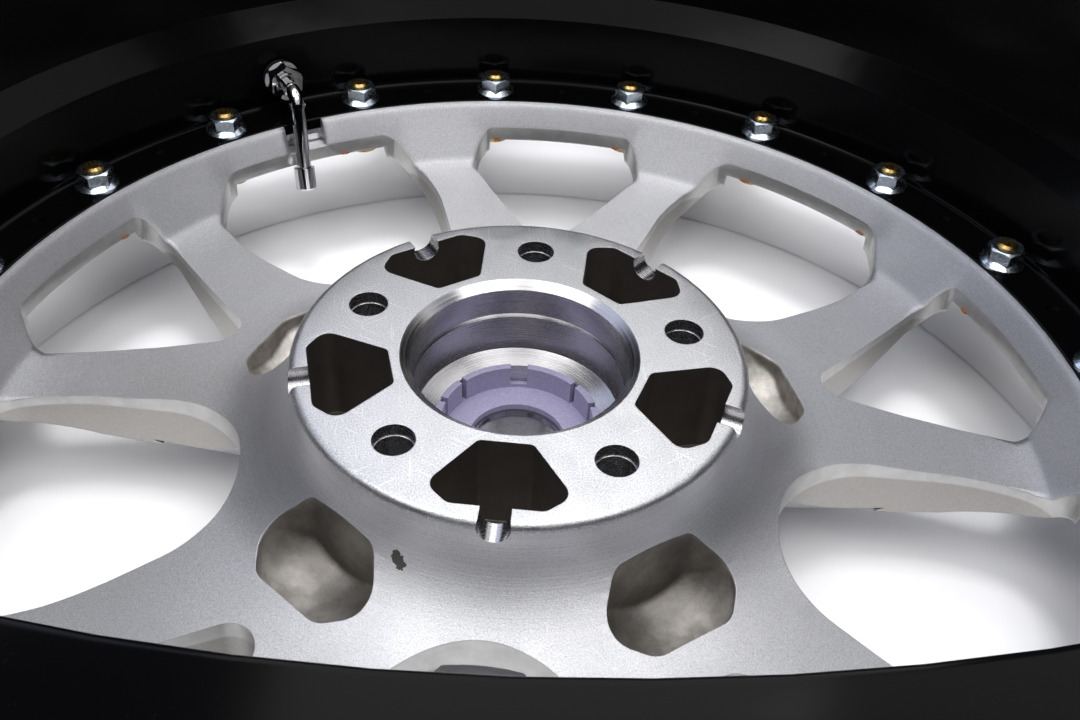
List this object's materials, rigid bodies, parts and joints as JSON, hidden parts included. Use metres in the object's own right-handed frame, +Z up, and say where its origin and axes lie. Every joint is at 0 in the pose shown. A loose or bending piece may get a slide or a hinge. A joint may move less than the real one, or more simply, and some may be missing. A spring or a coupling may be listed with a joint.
{
  "type": "car wheel",
  "caption": "Multi-piece alloy car wheel: a cast spoked centre disc bolted between a polished front lip and a black rear half rim, with a bent valve and a centre cap.",
  "frame": {"origin": "centre of the hub face, on the wheel's axis", "axes": "+Z along the axis, from the road side to the car; the wheel lies on its front lip with +Z up; +Y through one lug hole"},
  "size_m": [0.497, 0.497, 0.241],
  "materials": {
    "cast_disc": "cast and machined aluminium, satin, brighter on the turned hub face",
    "black_rim": "gloss black coating on spun aluminium",
    "polished_lip": "mirror polished spun aluminium",
    "sealant": "cured orange-brown joint sealant",
    "bolt_steel": "yellow chromated steel",
    "zinc_steel": "bright blue-white zinc plated steel",
    "valve_chrome": "chrome plated brass",
    "seal_rubber": "black moulded rubber",
    "valve_brass": "plain turned brass",
    "cap_plastic": "moulded lilac-grey plastic",
    "cap_metal": "bright pressed aluminium"
  },
  "bodies": {
    "root": {"centre_disc": "cast_disc", "rear_barrel": "black_rim", "front_lip": "polished_lip", "sealant_bead": "sealant", "assembly_bolts": "bolt_steel", "flange_nuts": "zinc_steel", "valve_body": "valve_chrome", "valve_outer_seal": "seal_rubber", "valve_inner_seal": "seal_rubber", "valve_washer": "valve_chrome", "valve_nut": "valve_chrome", "valve_core": "valve_brass", "valve_cap": "valve_chrome", "centre_cap": "cap_plastic", "cap_plate": "cap_metal"}
  },
  "joints": []
}
